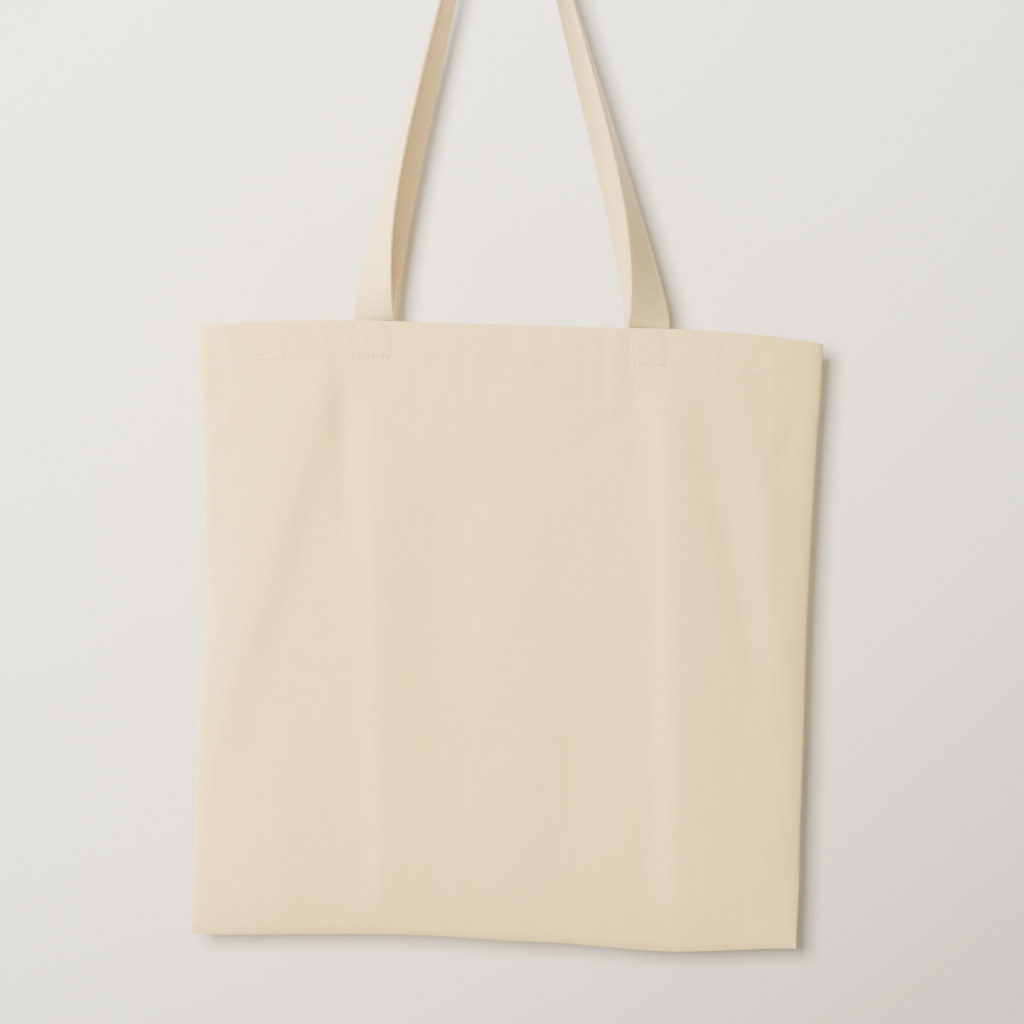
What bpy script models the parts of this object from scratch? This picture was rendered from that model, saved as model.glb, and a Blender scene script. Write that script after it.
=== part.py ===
"""Canvas tote bag, hanging by its two handles from a peg.

Metres, +Z up. The front of the bag faces -Y and X runs to the right. The origin is the peg seat,
the point on top of the peg where the handles rest. The bag hangs a little to the right of it,
because the handles have slipped over the peg.

Each panel, hem, seam allowance, handle and run of thread is one object. The pieces of the mouth's
front side ride with front_panel, those of its back side and the seams with back_panel.
"""

import math

import bmesh
import bpy
from mathutils import Vector

# ---------------------------------------------------------------------------
# Driving dimensions, metres
# ---------------------------------------------------------------------------

# Body
TOP_WIDTH = 0.380
BOTTOM_WIDTH = 0.367
BODY_HEIGHT = 0.374
SIDE_BOW = 0.0045          # how far each side edge pulls in at mid height
CORNER_DROP = 0.006        # how far the top corners hang below the handles
MIDDLE_HALF_GAP = 0.0064   # from the middle plane to the inside of a panel, away from the seams
SIDE_TAPER = 0.060         # over this distance from a side seam the bag thickens
BOTTOM_TAPER = 0.080       # the same, up from the bottom seam

# Cloth and thread
CLOTH = 0.0006             # one layer of canvas
GAP = 0.0003               # clearance between pieces that touch
THREAD_WIDTH = 0.0008
THREAD_HEIGHT = 0.0003

# Hem
HEM_HEIGHT = 0.025
HEM_LAYERS = 2
HEM_STITCH_DROP = 0.023    # from the top edge to the row of stitching
HEM_BLEND = 0.020          # over this distance below the hem the bag thins down
HEM_STEP = 0.0004          # how far the hem's layers push the panel out

# Seams
ALLOWANCE_INSET = 0.0005   # from the bag's edge to the allowance
ALLOWANCE_WIDTH = 0.010
OVERLOCK_WIDTH = 0.004

# Handles
STRAP_WIDTH = 0.0254
STRAP_THICKNESS = 0.0020
STRAP_CHAMFER = 0.0005
HANDLE_SPACING = 0.167     # between the middles of a handle's two ends
HANDLE_RISE = 0.305        # from the top of the hem to the peg seat
HANDLE_END = 0.0235        # length of strap sewn inside the hem
EDGE_LAG = 0.012           # a handle leaves the hem upright and leans in over about this height
BACK_HANDLE_INSET = 0.002  # the back handle is sewn this much nearer the middle
PEG_RADIUS = 0.010
PEG_SLIP = 0.0125          # from the peg to the bag's middle line
HANDLES_APART = 0.0010     # between the two handles, side by side on the peg
EDGE_ROW_INSET = 0.0025    # from a strap's edge to its row of topstitching
EDGE_ROW_START = 0.003     # the rows begin this far above the hem

# Twist of each handle, in degrees: QUICK is taken up over about TWIST_HEIGHT above the hem and
# the rest of the quarter turn evenly on the way to the peg.
FRONT_TWIST_QUICK = 78.0
FRONT_TWIST_HEIGHT = 0.042
BACK_TWIST_QUICK = 40.0
BACK_TWIST_HEIGHT = 0.030
QUARTER_TURN = 90.0

# Box of stitching at each handle end
BOX_WIDTH = 0.021
BOX_TOP = 0.003            # from the top edge of the hem to the box

# ---------------------------------------------------------------------------
# Derived sizes
# ---------------------------------------------------------------------------

CENTRE_X = PEG_SLIP
HEM_TOP_Z = -HANDLE_RISE
BOTTOM_Z = HEM_TOP_Z - BODY_HEIGHT
HEM_THICKNESS = HEM_LAYERS * CLOTH
SEAM_HALF_GAP = CLOTH + GAP
HEM_HALF_GAP = HEM_THICKNESS + GAP + GAP / 2 + 0.00005
END_OFFSET = -(GAP + HEM_THICKNESS + GAP + STRAP_THICKNESS / 2)
HEM_MIDDLE_HALF_GAP = MIDDLE_HALF_GAP + HEM_STEP
STRAP_BASE_Y = HEM_MIDDLE_HALF_GAP + END_OFFSET
PEG_CENTRE = Vector((0.0, -PEG_RADIUS))
PEG_ROUTE_RADIUS = PEG_RADIUS + STRAP_THICKNESS / 2
DROP_START = (HANDLE_SPACING + STRAP_WIDTH) / 2

# Mesh resolution
PANEL_COLUMNS = 24
PANEL_ROWS = 15
HEM_ROWS = 2
LEG_STATIONS = 36
PEG_STATIONS = 14

FRONT = -1.0
BACK = 1.0
LEFT = -1.0
RIGHT = 1.0

CANVAS = (0.78, 0.66, 0.50)
CANVAS_INSIDE = (0.72, 0.60, 0.45)
THREAD = (0.84, 0.75, 0.61)


# ---------------------------------------------------------------------------
# Meshes
# ---------------------------------------------------------------------------

def clear_scene():
    for thing in list(bpy.data.objects):
        bpy.data.objects.remove(thing, do_unlink=True)


def cloth_material(name, colour, roughness):
    material = bpy.data.materials.new(name)
    material.use_nodes = True
    shader = material.node_tree.nodes["Principled BSDF"]
    shader.inputs["Base Color"].default_value = (*colour, 1.0)
    shader.inputs["Roughness"].default_value = roughness
    shader.inputs["Metallic"].default_value = 0.0
    return material


def add_object(name, shape, colour, roughness=0.9):
    """Turn a closed bmesh into an object with faces that point out."""
    bmesh.ops.recalc_face_normals(shape, faces=shape.faces)
    mesh = bpy.data.meshes.new(name)
    shape.to_mesh(mesh)
    shape.free()
    mesh.materials.append(cloth_material(name + "_material", colour, roughness))
    piece = bpy.data.objects.new(name, mesh)
    bpy.context.scene.collection.objects.link(piece)
    return piece


def slab(name, columns, rows, face_a, face_b, colour):
    """A thin body between two faces, each a function of a column and a row value."""
    shape = bmesh.new()
    grids = []
    for face in (face_a, face_b):
        grids.append([[shape.verts.new(face(c, r)) for r in rows] for c in columns])
    last_column = len(columns) - 1
    last_row = len(rows) - 1
    for grid in grids:
        for i in range(last_column):
            for j in range(last_row):
                shape.faces.new((grid[i][j], grid[i + 1][j], grid[i + 1][j + 1], grid[i][j + 1]))
    rim = [(i, 0) for i in range(last_column)]
    rim += [(last_column, j) for j in range(last_row)]
    rim += [(i, last_row) for i in range(last_column, 0, -1)]
    rim += [(0, j) for j in range(last_row, 0, -1)]
    grid_a, grid_b = grids
    for here, there in zip(rim, rim[1:] + rim[:1]):
        shape.faces.new((grid_a[here[0]][here[1]], grid_a[there[0]][there[1]],
                         grid_b[there[0]][there[1]], grid_b[here[0]][here[1]]))
    return add_object(name, shape, colour)


def loft(name, rings, colour):
    """A body through a list of rings of points, closed by a cap at each end."""
    shape = bmesh.new()
    loops = [[shape.verts.new(point) for point in ring] for ring in rings]
    count = len(loops[0])
    for low, high in zip(loops, loops[1:]):
        for k in range(count):
            following = (k + 1) % count
            shape.faces.new((low[k], low[following], high[following], high[k]))
    shape.faces.new(loops[0])
    shape.faces.new(loops[-1])
    return add_object(name, shape, colour)


# ---------------------------------------------------------------------------
# Shape of the body
# ---------------------------------------------------------------------------

def ease(t):
    t = min(max(t, 0.0), 1.0)
    return t * t * (3.0 - 2.0 * t)


def dome(t):
    """A quarter ellipse: 0 at a seam, 1 from t = 1 on."""
    return math.sqrt(1.0 - (1.0 - min(max(t, 0.0), 1.0)) ** 2)


def half_width(z):
    t = (z - BOTTOM_Z) / BODY_HEIGHT
    straight = (BOTTOM_WIDTH + (TOP_WIDTH - BOTTOM_WIDTH) * t) / 2
    return straight - SIDE_BOW * 4.0 * t * (1.0 - t)


def top_edge_z(across):
    """Height of the top edge; across runs from -1 at the left edge to 1 at the right."""
    beyond = max(abs(across) * TOP_WIDTH / 2 - DROP_START, 0.0) / (TOP_WIDTH / 2 - DROP_START)
    return HEM_TOP_Z - CORNER_DROP * beyond ** 2


def height(across, up):
    """up runs from 0 at the bottom to 1 at the hem's lower edge and 2 at the top edge."""
    top = top_edge_z(across)
    hem_line = top - HEM_HEIGHT
    if up <= 1.0:
        return BOTTOM_Z + up * (hem_line - BOTTOM_Z)
    return hem_line + (up - 1.0) * HEM_HEIGHT


def half_gap(across, z):
    """Distance from the middle plane to the inside face of a panel."""
    hem_line = top_edge_z(across) - HEM_HEIGHT
    near_hem = ease((z - hem_line + HEM_BLEND) / HEM_BLEND)
    edge = SEAM_HALF_GAP + (HEM_HALF_GAP - SEAM_HALF_GAP) * near_hem
    middle = MIDDLE_HALF_GAP + HEM_STEP * near_hem
    side = dome((1.0 - abs(across)) * half_width(z) / SIDE_TAPER)
    base = dome((z - BOTTOM_Z) / BOTTOM_TAPER)
    return edge + (middle - edge) * side * base


def body_point(across, up, side, offset):
    """A point at an offset outward from the inside face of the front or back panel."""
    z = height(across, up)
    y = side * (half_gap(across, z) + offset)
    return (CENTRE_X + across * half_width(z), y, z)


def panel_columns():
    """Values of across, closer together towards the side seams."""
    return [math.sin(math.pi / 2 * (2.0 * i / PANEL_COLUMNS - 1.0)) for i in range(PANEL_COLUMNS + 1)]


def panel_rows():
    """Values of up, closer together towards the bottom seam."""
    below = [(j / PANEL_ROWS) ** 1.6 for j in range(PANEL_ROWS + 1)]
    return below + [1.0 + (j + 1) / HEM_ROWS for j in range(HEM_ROWS)]


# ---------------------------------------------------------------------------
# Cloth of the body
# ---------------------------------------------------------------------------

def build_panel(name, side):
    slab(name, panel_columns(), panel_rows(),
         lambda across, up: body_point(across, up, side, CLOTH),
         lambda across, up: body_point(across, up, side, 0.0), CANVAS)


def build_hem(name, side):
    rows = [1.0 + j / HEM_ROWS for j in range(HEM_ROWS + 1)]
    slab(name, panel_columns(), rows,
         lambda across, up: body_point(across, up, side, -GAP),
         lambda across, up: body_point(across, up, side, -GAP - HEM_THICKNESS), CANVAS_INSIDE)


def build_hem_stitching(name, side):
    """One row of thread on the outside of the panel."""
    middle = 2.0 - HEM_STITCH_DROP / HEM_HEIGHT
    half = THREAD_WIDTH / 2 / HEM_HEIGHT
    reach = 1.0 - ALLOWANCE_INSET / (TOP_WIDTH / 2)
    columns = [max(-reach, min(reach, across)) for across in panel_columns()]
    slab(name, columns, [middle - half, middle + half],
         lambda across, up: body_point(across, up, side, CLOTH + GAP),
         lambda across, up: body_point(across, up, side, CLOTH + GAP + THREAD_HEIGHT), THREAD)


def side_seam_rows():
    """Heights along a side seam, from the bottom to just under the hem."""
    low = BOTTOM_Z + ALLOWANCE_INSET
    high = top_edge_z(1.0) - HEM_HEIGHT - GAP
    return [low + (high - low) * j / PANEL_ROWS for j in range(PANEL_ROWS + 1)]


def side_point(side, inset, y, z):
    return (CENTRE_X + side * (half_width(z) - inset), y, z)


def build_side_allowance(name, side):
    insets = [ALLOWANCE_INSET, ALLOWANCE_INSET + ALLOWANCE_WIDTH]
    slab(name, insets, side_seam_rows(),
         lambda inset, z: side_point(side, inset, CLOTH, z),
         lambda inset, z: side_point(side, inset, -CLOTH, z), CANVAS_INSIDE)


def bottom_reach():
    """Half length of the bottom allowance, which ends beside the side seams' overlock."""
    taken = ALLOWANCE_INSET + ALLOWANCE_WIDTH + GAP + THREAD_HEIGHT + GAP
    return half_width(BOTTOM_Z + ALLOWANCE_INSET + ALLOWANCE_WIDTH) - taken


def build_bottom_allowance(name):
    heights = [BOTTOM_Z + ALLOWANCE_INSET, BOTTOM_Z + ALLOWANCE_INSET + ALLOWANCE_WIDTH]
    reach = bottom_reach()
    slab(name, [CENTRE_X - reach, CENTRE_X + reach], heights,
         lambda x, z: (x, CLOTH, z), lambda x, z: (x, -CLOTH, z), CANVAS_INSIDE)


def overlock_outline():
    """Section of the overlock: a channel over the allowance's raw edge, as (inset, y) pairs."""
    start = ALLOWANCE_INSET + ALLOWANCE_WIDTH - OVERLOCK_WIDTH
    inner_end = ALLOWANCE_INSET + ALLOWANCE_WIDTH + GAP
    outer_end = inner_end + THREAD_HEIGHT
    inner_y = CLOTH + GAP
    outer_y = inner_y + THREAD_HEIGHT
    return [(start, -outer_y), (outer_end, -outer_y), (outer_end, outer_y), (start, outer_y),
            (start, inner_y), (inner_end, inner_y), (inner_end, -inner_y), (start, -inner_y)]


def build_side_overlock(name, side):
    outline = overlock_outline()
    heights = [z for z in side_seam_rows() if z > BOTTOM_Z + OVERLOCK_WIDTH]
    loft(name, [[side_point(side, inset, y, z) for inset, y in outline] for z in heights], THREAD)


def build_bottom_overlock(name):
    outline = overlock_outline()
    reach = bottom_reach()
    ends = [CENTRE_X - reach, CENTRE_X + reach]
    loft(name, [[(x, y, BOTTOM_Z + inset) for inset, y in outline] for x in ends], THREAD)


# ---------------------------------------------------------------------------
# Handles
# ---------------------------------------------------------------------------

def twist(rise, side):
    """Angle from lying flat on the hem, at a height above it, in radians."""
    if side == FRONT:
        quick, reach = FRONT_TWIST_QUICK, FRONT_TWIST_HEIGHT
    else:
        quick, reach = BACK_TWIST_QUICK, BACK_TWIST_HEIGHT
    even = (QUARTER_TURN - quick) * min(rise / HANDLE_RISE, 1.0)
    return math.radians(quick * (1.0 - math.exp(-rise / reach)) + even)


def leg_lean(base_x, hand):
    """Tangent of the lean with which a leg's outer edge meets the peg."""
    start = Vector((hand * base_x, HEM_TOP_Z + EDGE_LAG))
    to_peg = Vector((hand * PEG_CENTRE.x, PEG_CENTRE.y)) - start
    aim = math.atan2(-to_peg.x, to_peg.y)
    return math.tan(aim - math.asin(PEG_ROUTE_RADIUS / to_peg.length))


def leg_route(side, hand):
    """Outer edge of one leg, from the hem to the peg, as (x, z, rise) triples."""
    inset = BACK_HANDLE_INSET if side == BACK else 0.0
    base_x = CENTRE_X + hand * (DROP_START - inset)
    lean = leg_lean(base_x, hand)
    top_z = PEG_CENTRE.y + PEG_ROUTE_RADIUS * math.sin(math.atan(lean))
    start_rise = GAP
    end_rise = top_z - HEM_TOP_Z
    route = []
    for i in range(LEG_STATIONS + 1):
        rise = start_rise + (end_rise - start_rise) * (i / LEG_STATIONS) ** 1.6
        shift = lean * (rise - EDGE_LAG * (1.0 - math.exp(-rise / EDGE_LAG)))
        route.append((base_x - hand * shift, HEM_TOP_Z + rise, rise))
    return route


def peg_route(left_end, right_end):
    """The arc over the peg, between the two legs."""
    angles = []
    for x, z, _rise in (left_end, right_end):
        angles.append(math.atan2(z - PEG_CENTRE.y, x - PEG_CENTRE.x))
    route = []
    for i in range(1, PEG_STATIONS):
        angle = angles[0] + (angles[1] - angles[0]) * i / PEG_STATIONS
        x = PEG_CENTRE.x + PEG_ROUTE_RADIUS * math.cos(angle)
        z = PEG_CENTRE.y + PEG_ROUTE_RADIUS * math.sin(angle)
        route.append((x, z, HANDLE_RISE))
    return route


def handle_stations(side):
    """Centre, width direction and outward direction of the strap, from left end to right end."""
    left_leg = leg_route(side, LEFT)
    right_leg = leg_route(side, RIGHT)
    route = left_leg + peg_route(left_leg[-1], right_leg[-1]) + right_leg[::-1]
    edge = []
    for x, z, rise in route:
        near = STRAP_BASE_Y + (HANDLES_APART / 2 - STRAP_BASE_Y) * ease(rise / HANDLE_RISE)
        edge.append(Vector((x, side * near, z)))
    stations = []
    for i, (_x, _z, rise) in enumerate(route):
        before = edge[max(i - 1, 0)]
        after = edge[min(i + 1, len(edge) - 1)]
        along = (after - before).normalized()
        if i in (0, len(route) - 1):
            along = Vector((0.0, 0.0, 1.0 if i == 0 else -1.0))
        forward = Vector((0.0, side, 0.0))
        forward = (forward - along * forward.dot(along)).normalized()
        inward = forward.cross(along) * side
        angle = twist(rise, side)
        across = inward * math.cos(angle) + forward * math.sin(angle)
        outward = forward * math.cos(angle) - inward * math.sin(angle)
        stations.append((edge[i] + across * STRAP_WIDTH / 2, across, outward))
    return stations


def strap_ring(centre, across, outward):
    """Section of the strap, a flat band with its corners taken off."""
    w = STRAP_WIDTH / 2
    t = STRAP_THICKNESS / 2
    c = STRAP_CHAMFER
    outline = [(-w, -t + c), (-w + c, -t), (w - c, -t), (w, -t + c),
               (w, t - c), (w - c, t), (-w + c, t), (-w, t - c)]
    return [centre + across * a + outward * b for a, b in outline]


def build_handle(name, side):
    loft(name, [strap_ring(*station) for station in handle_stations(side)], CANVAS)


def build_handle_row(name, side, offset):
    """Topstitching on the outer face of a handle, at an offset from its middle."""
    low = STRAP_THICKNESS / 2 + GAP
    high = low + THREAD_HEIGHT
    rings = []
    for centre, across, outward in handle_stations(side):
        if centre.z < HEM_TOP_Z + EDGE_ROW_START:
            continue
        corners = [(offset - THREAD_WIDTH / 2, low), (offset + THREAD_WIDTH / 2, low),
                   (offset + THREAD_WIDTH / 2, high), (offset - THREAD_WIDTH / 2, high)]
        rings.append([centre + across * a + outward * b for a, b in corners])
    loft(name, rings, THREAD)


def handle_end_x(side, hand):
    inset = BACK_HANDLE_INSET if side == BACK else 0.0
    return CENTRE_X + hand * (HANDLE_SPACING / 2 - inset)


def build_handle_end(name, side, hand):
    """The end of a strap, upright inside the hem."""
    across = Vector((-hand, 0.0, 0.0))
    outward = Vector((0.0, side, 0.0))
    rings = []
    for z in (HEM_TOP_Z - HANDLE_END, HEM_TOP_Z):
        centre = Vector((handle_end_x(side, hand), side * STRAP_BASE_Y, z))
        rings.append(strap_ring(centre, across, outward))
    loft(name, rings, CANVAS)


def build_box_stitching(name, side, hand):
    """A square of thread with a cross in it, on the outside of the panel."""
    near = side * (HEM_MIDDLE_HALF_GAP + CLOTH + GAP)
    far = near + side * THREAD_HEIGHT
    half = BOX_WIDTH / 2
    top = HEM_TOP_Z - BOX_TOP
    bottom = HEM_TOP_Z - HEM_STITCH_DROP + THREAD_WIDTH / 2 + GAP
    half_tall = (top - bottom) / 2
    centre_x = handle_end_x(side, hand)
    centre_z = (top + bottom) / 2

    plate = bmesh.new()
    bmesh.ops.create_cube(plate, size=1.0)
    for vert in plate.verts:
        vert.co = (centre_x + 2 * vert.co.x * half, (near + far) / 2 + vert.co.y * THREAD_HEIGHT,
                   centre_z + 2 * vert.co.z * half_tall)
    piece = add_object(name, plate, THREAD)

    # Four triangular windows leave the frame and the two diagonals.
    cutter_shape = bmesh.new()
    slant = math.hypot(half, half_tall)
    bar = THREAD_WIDTH / 2
    margin_x = bar * slant / half_tall
    margin_z = bar * slant / half
    inner_x = half - THREAD_WIDTH
    inner_z = half_tall - THREAD_WIDTH
    windows = []
    for sign in (-1.0, 1.0):
        spread = (inner_x - margin_x) * half_tall / half
        windows.append([(sign * margin_x, 0.0), (sign * inner_x, spread), (sign * inner_x, -spread)])
        spread = (inner_z - margin_z) * half / half_tall
        windows.append([(0.0, sign * margin_z), (spread, sign * inner_z), (-spread, sign * inner_z)])
    for window in windows:
        ends = []
        for y in (min(near, far) - THREAD_WIDTH, max(near, far) + THREAD_WIDTH):
            ends.append([cutter_shape.verts.new((centre_x + a, y, centre_z + b)) for a, b in window])
        cutter_shape.faces.new(ends[0])
        cutter_shape.faces.new(ends[1])
        for k in range(3):
            following = (k + 1) % 3
            cutter_shape.faces.new((ends[0][k], ends[0][following], ends[1][following], ends[1][k]))
    cutter = add_object(name + "_windows", cutter_shape, THREAD)
    cutter.hide_render = True
    cutter.display_type = "WIRE"

    cut = piece.modifiers.new("windows", "BOOLEAN")
    cut.operation = "DIFFERENCE"
    cut.object = cutter


# ---------------------------------------------------------------------------
# The whole bag
# ---------------------------------------------------------------------------

def build_bag():
    edge_row = STRAP_WIDTH / 2 - EDGE_ROW_INSET
    for label, side in (("front", FRONT), ("back", BACK)):
        build_panel(label + "_panel", side)
        build_hem(label + "_hem", side)
        build_hem_stitching(label + "_hem_stitching", side)
        build_handle(label + "_handle", side)
        build_handle_row(label + "_handle_inner_topstitch", side, edge_row)
        build_handle_row(label + "_handle_outer_topstitch", side, -edge_row)
        for hand_label, hand in (("left", LEFT), ("right", RIGHT)):
            build_handle_end(f"{label}_{hand_label}_handle_end", side, hand)
            build_box_stitching(f"{label}_{hand_label}_box_stitching", side, hand)
    for hand_label, hand in (("left", LEFT), ("right", RIGHT)):
        build_side_allowance(hand_label + "_seam_allowance", hand)
        build_side_overlock(hand_label + "_seam_overlock", hand)
    build_bottom_allowance("bottom_seam_allowance")
    build_bottom_overlock("bottom_seam_overlock")


clear_scene()
build_bag()
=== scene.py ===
"""Canvas tote bag: its cloth, straps and thread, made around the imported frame.

Metres, +Z up, the front of the bag faces -Y. Each panel is one sheet of cloth, whose top is turned
in twice as its hem. Each strap is one band from sewn end to sewn end. Every stitch is a piece of
thread of its own. The cloth's folds are shaped by the functions under "Folds".
"""
import math
import random

import bpy
import numpy as np
from mathutils import Matrix, Vector, noise


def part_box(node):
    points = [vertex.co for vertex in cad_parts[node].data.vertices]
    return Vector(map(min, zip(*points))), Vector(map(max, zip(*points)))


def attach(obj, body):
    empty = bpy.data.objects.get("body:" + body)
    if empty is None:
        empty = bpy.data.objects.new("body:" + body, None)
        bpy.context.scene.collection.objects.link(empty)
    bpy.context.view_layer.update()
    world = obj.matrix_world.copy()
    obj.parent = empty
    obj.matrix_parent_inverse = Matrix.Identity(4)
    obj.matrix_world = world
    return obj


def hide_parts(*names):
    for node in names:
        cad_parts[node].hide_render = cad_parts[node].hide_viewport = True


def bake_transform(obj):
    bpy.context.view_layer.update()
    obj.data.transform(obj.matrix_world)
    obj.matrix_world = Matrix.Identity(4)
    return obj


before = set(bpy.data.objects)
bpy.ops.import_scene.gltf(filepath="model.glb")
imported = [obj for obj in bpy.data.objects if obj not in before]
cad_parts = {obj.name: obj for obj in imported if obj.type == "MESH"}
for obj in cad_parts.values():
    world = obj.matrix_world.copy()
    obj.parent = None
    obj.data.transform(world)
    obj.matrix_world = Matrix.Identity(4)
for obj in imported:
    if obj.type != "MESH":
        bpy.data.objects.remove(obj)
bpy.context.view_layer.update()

# ---------------------------------------------------------------------------
# Sizes, from the frame where it has them
# ---------------------------------------------------------------------------

PANEL_LOW, PANEL_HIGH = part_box("front_panel")
HEM_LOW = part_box("front_hem")[0]
END_LOW, END_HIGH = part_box("front_left_handle_end")
BOX_LOW, BOX_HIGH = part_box("front_left_box_stitching")
ALLOWANCE_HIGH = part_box("left_seam_allowance")[1]

CENTRE_X = (PANEL_LOW.x + PANEL_HIGH.x) / 2
TOP_WIDTH = 0.380
BOTTOM_WIDTH = 0.367
BOTTOM_Z = PANEL_LOW.z
HEM_TOP_Z = PANEL_HIGH.z
BODY_HEIGHT = HEM_TOP_Z - BOTTOM_Z
SIDE_BOW = 0.0045
CORNER_DROP = 0.006
HEM_HEIGHT = HEM_TOP_Z - CORNER_DROP - HEM_LOW.z
SEAM_HALF_GAP = 0.0009
HEM_HALF_GAP = 0.0017
HEM_STEP = 0.0004
HEM_BLEND = 0.020
CAD_CLOTH = 0.0006
MIDDLE_HALF_GAP = -PANEL_LOW.y - CAD_CLOTH - HEM_STEP
SIDE_TAPER = 0.060
BOTTOM_TAPER = 0.080

CLOTH = 0.00054            # thickness of one layer
PANEL_MID = 0.00033        # middle of each layer, outward from the panel's inside face
TURNED_MID = -0.0006
INNER_MID = -0.0012
SEAM_Y = 0.00029           # half the distance between the two panels' middles where they meet
HEM_ROW_DROP = 0.023       # from the top edge to the row of stitching

# Seam allowances, measured inward from the bag's edge
ALLOWANCE_START = 0.0012
ALLOWANCE_END = 0.0104
ALLOWANCE_SPREAD = 0.00012 # how far each raw edge lifts from the other
RAW_EDGE = 0.0106          # where the overlock goes round
OVERLOCK_DEPTH = 0.0042

STRAP_WIDTH = END_HIGH.x - END_LOW.x
STRAP_THICKNESS = END_HIGH.y - END_LOW.y
STRAP_BASE_Y = -(END_LOW.y + END_HIGH.y) / 2
STRAP_END = END_HIGH.z - END_LOW.z
HANDLE_SPACING = 2 * (CENTRE_X - (END_LOW.x + END_HIGH.x) / 2)
HANDLE_RISE = -HEM_TOP_Z
EDGE_LAG = 0.012
BACK_HANDLE_INSET = 0.002
PEG_RADIUS = 0.010
HANDLES_APART = 0.0010
EDGE_ROW_INSET = 0.0025
EDGE_ROW_START = 0.003
FRONT_TWIST = (78.0, 0.042)    # degrees taken up early, and over what height
BACK_TWIST = (40.0, 0.030)

PEG_CENTRE = Vector((0.0, -PEG_RADIUS))
PEG_ROUTE_RADIUS = PEG_RADIUS + STRAP_THICKNESS / 2
DROP_START = (HANDLE_SPACING + STRAP_WIDTH) / 2

THREAD_RADIUS = 0.00026
OVERLOCK_RADIUS = 0.00018
HEM_PITCH = 0.0030
BOX_PITCH = 0.0026
STRAP_PITCH = 0.0030
OVERLOCK_PITCH = 0.0026

FRONT = -1.0
BACK = 1.0
LEFT = -1.0
RIGHT = 1.0
SIDES = (("front", FRONT), ("back", BACK))
HANDS = (("left", LEFT), ("right", RIGHT))


# ---------------------------------------------------------------------------
# Camera
# ---------------------------------------------------------------------------

CAMERA_DISTANCE = 2.0
CAMERA_AIM = Vector((0.0163, 0.0, -0.4185))
CAMERA_LENS = 115.7
CAMERA_ROLL = math.radians(1.6)


def make_camera():
    data = bpy.data.cameras.new("camera")
    data.lens = CAMERA_LENS
    data.clip_start = 0.05
    data.clip_end = 60.0
    camera = bpy.data.objects.new("camera", data)
    bpy.context.scene.collection.objects.link(camera)
    look = Matrix.Rotation(math.pi / 2, 4, "X") @ Matrix.Rotation(CAMERA_ROLL, 4, "Z")
    camera.matrix_world = Matrix.Translation(CAMERA_AIM - Vector((0, CAMERA_DISTANCE, 0))) @ look
    bpy.context.scene.camera = camera


# ---------------------------------------------------------------------------
# Outline of the body
# ---------------------------------------------------------------------------

# How far the side edges and the bottom edge stray from the even outline, as (place, shift) pairs.
# Places run from 0 at the bottom to 1 at the top, and from -1 at the left to 1 at the right.
LEFT_EDGE = ((0.0, -0.0006), (0.32, -0.0014), (0.55, 0.0018), (0.71, 0.0010), (1.0, 0.0))
RIGHT_EDGE = ((0.0, 0.0), (0.12, 0.0018), (0.34, 0.0027), (0.55, 0.0020), (0.88, 0.0012), (1.0, 0.0))
BOTTOM_EDGE = ((-1.0, -0.0010), (-0.30, 0.0024), (0.15, 0.0002), (0.58, -0.0034), (1.0, 0.0004))
BOTTOM_EDGE_REACH = 0.16


def ease(t):
    t = np.clip(t, 0.0, 1.0)
    return t * t * (3.0 - 2.0 * t)


def dome(t):
    """A quarter ellipse: 0 at a seam, 1 from t = 1 on."""
    return np.sqrt(1.0 - (1.0 - np.clip(t, 0.0, 1.0)) ** 2)


def eased_curve(pairs, place):
    """A smooth curve through (place, value) pairs, level at each of them."""
    places = np.array([p for p, _value in pairs])
    values = np.array([value for _p, value in pairs])
    before = np.clip(np.searchsorted(places, place, side="right") - 1, 0, len(pairs) - 2)
    t = (place - places[before]) / (places[before + 1] - places[before])
    return values[before] + (values[before + 1] - values[before]) * ease(t)


def half_width(z):
    t = (z - BOTTOM_Z) / BODY_HEIGHT
    straight = (BOTTOM_WIDTH + (TOP_WIDTH - BOTTOM_WIDTH) * t) / 2
    return straight - SIDE_BOW * 4.0 * t * (1.0 - t)


def edge_shift(across, z):
    t = np.clip((z - BOTTOM_Z) / BODY_HEIGHT, 0.0, 1.0)
    shift = np.where(across < 0, eased_curve(LEFT_EDGE, t), eased_curve(RIGHT_EDGE, t))
    return shift * np.abs(across) ** 4


def bottom_shift(across, z):
    near = 1.0 - ease((z - BOTTOM_Z) / BOTTOM_EDGE_REACH)
    return eased_curve(BOTTOM_EDGE, np.clip(across, -1.0, 1.0)) * near


def top_edge_z(across):
    reach = TOP_WIDTH / 2 - DROP_START
    beyond = np.maximum(np.abs(across) * TOP_WIDTH / 2 - DROP_START, 0.0) / reach
    return HEM_TOP_Z - CORNER_DROP * beyond ** 2


def half_gap(across, z):
    """Distance from the middle plane to the inside face of a panel."""
    hem_line = top_edge_z(across) - HEM_HEIGHT
    near_hem = ease((z - hem_line + HEM_BLEND) / HEM_BLEND)
    edge = SEAM_HALF_GAP + (HEM_HALF_GAP - SEAM_HALF_GAP) * near_hem
    middle = MIDDLE_HALF_GAP + HEM_STEP * near_hem
    side = dome((1.0 - np.abs(across)) * half_width(z) / SIDE_TAPER)
    base = dome((z - BOTTOM_Z) / BOTTOM_TAPER)
    return edge + (middle - edge) * side * base


# ---------------------------------------------------------------------------
# Folds
# ---------------------------------------------------------------------------

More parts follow.
